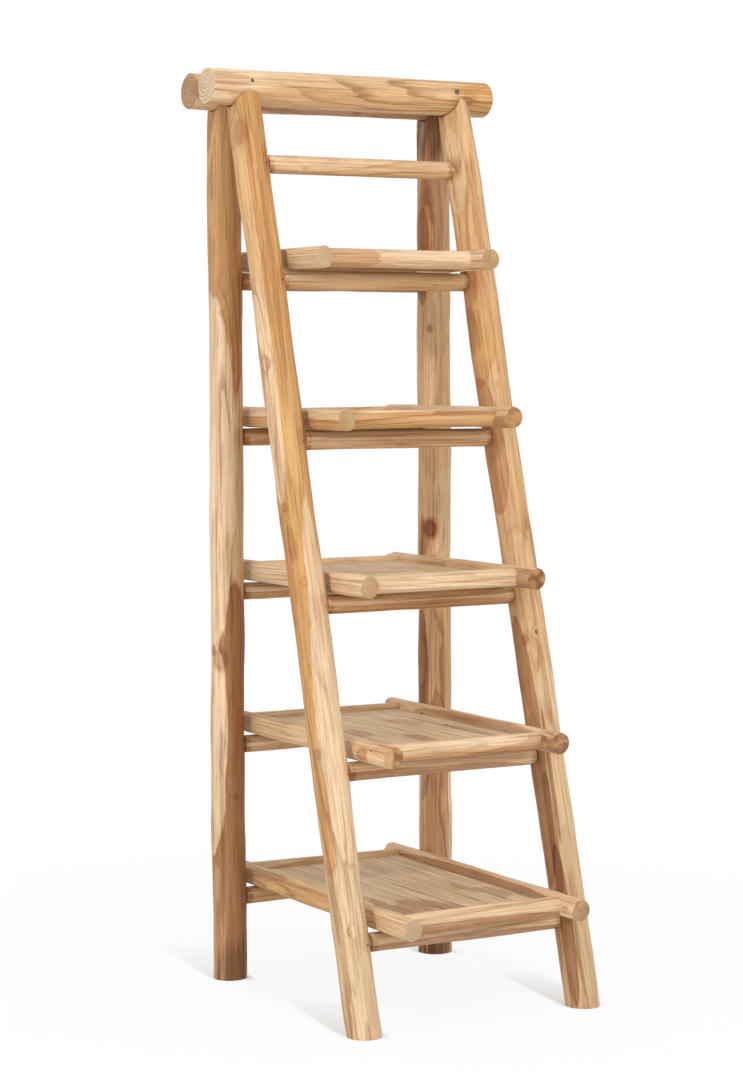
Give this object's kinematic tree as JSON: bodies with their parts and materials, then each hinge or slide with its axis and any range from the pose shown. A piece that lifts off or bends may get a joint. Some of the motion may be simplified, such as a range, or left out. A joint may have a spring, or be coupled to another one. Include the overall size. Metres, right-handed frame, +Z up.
{
  "type": "plant ladder stand",
  "caption": "Leaning teak pole ladder joined to an upright ladder under the top poles, with loose slatted trays for plant pots on the rungs.",
  "frame": {"origin": "centre of the footprint box, on the floor", "axes": "+X to the right seen from the front, +Y to the back where the upright ladder is, +Z up"},
  "size_m": [0.64, 0.7174, 1.8],
  "materials": {
    "leg_wood": "natural, debarked and sanded, faintly satin",
    "top_pole_wood": "natural, debarked and sanded, faintly satin",
    "rung_wood": "natural, debarked and sanded, faintly satin",
    "side_pole_wood": "natural, sanded, with planed flats",
    "rail_wood": "natural, sanded, with planed flats",
    "slat_wood": "natural, planed smooth, unsealed",
    "batten_wood": "natural, sawn",
    "screw_steel": "dulled zinc plate"
  },
  "bodies": {
    "frame": {"rear_leg_left": "leg_wood", "rear_leg_right": "leg_wood", "front_leg_left": "leg_wood", "front_leg_right": "leg_wood", "front_top_pole": "top_pole_wood", "rear_top_pole": "top_pole_wood", "top_rung": "rung_wood", "top_pole_screws": "screw_steel", "leg_top_screws": "screw_steel", "front_rung_screws": "screw_steel", "rear_rung_screws": "screw_steel", "front_rung_1": "rung_wood", "front_rung_2": "rung_wood", "front_rung_3": "rung_wood", "front_rung_4": "rung_wood", "front_rung_5": "rung_wood", "rear_rung_1": "rung_wood", "rear_rung_2": "rung_wood", "rear_rung_3": "rung_wood", "rear_rung_4": "rung_wood", "rear_rung_5": "rung_wood"},
    "tray_1": {"tray_1_side_pole_left": "side_pole_wood", "tray_1_side_pole_right": "side_pole_wood", "tray_1_front_rail": "rail_wood", "tray_1_rear_rail": "rail_wood", "tray_1_slats": "slat_wood", "tray_1_battens": "batten_wood", "tray_1_screws": "screw_steel"},
    "tray_2": {"tray_2_side_pole_left": "side_pole_wood", "tray_2_side_pole_right": "side_pole_wood", "tray_2_front_rail": "rail_wood", "tray_2_rear_rail": "rail_wood", "tray_2_slats": "slat_wood", "tray_2_battens": "batten_wood", "tray_2_screws": "screw_steel"},
    "tray_3": {"tray_3_side_pole_left": "side_pole_wood", "tray_3_side_pole_right": "side_pole_wood", "tray_3_front_rail": "rail_wood", "tray_3_rear_rail": "rail_wood", "tray_3_slats": "slat_wood", "tray_3_battens": "batten_wood", "tray_3_screws": "screw_steel"},
    "tray_4": {"tray_4_side_pole_left": "side_pole_wood", "tray_4_side_pole_right": "side_pole_wood", "tray_4_front_rail": "rail_wood", "tray_4_rear_rail": "rail_wood", "tray_4_slats": "slat_wood", "tray_4_battens": "batten_wood", "tray_4_screws": "screw_steel"},
    "tray_5": {"tray_5_side_pole_left": "side_pole_wood", "tray_5_side_pole_right": "side_pole_wood", "tray_5_front_rail": "rail_wood", "tray_5_rear_rail": "rail_wood", "tray_5_slats": "slat_wood", "tray_5_battens": "batten_wood", "tray_5_screws": "screw_steel"}
  },
  "joints": [
    {"name": "tray_1_slide", "type": "slide", "parent": "frame", "child": "tray_1", "axis": [0, -1, 0], "range_m": [0, 0.75]},
    {"name": "tray_2_slide", "type": "slide", "parent": "frame", "child": "tray_2", "axis": [0, -1, 0], "range_m": [0, 0.75]},
    {"name": "tray_3_slide", "type": "slide", "parent": "frame", "child": "tray_3", "axis": [0, -1, 0], "range_m": [0, 0.75]},
    {"name": "tray_4_slide", "type": "slide", "parent": "frame", "child": "tray_4", "axis": [0, -1, 0], "range_m": [0, 0.75]},
    {"name": "tray_5_slide", "type": "slide", "parent": "frame", "child": "tray_5", "axis": [0, -1, 0], "range_m": [0, 0.75]}
  ]
}
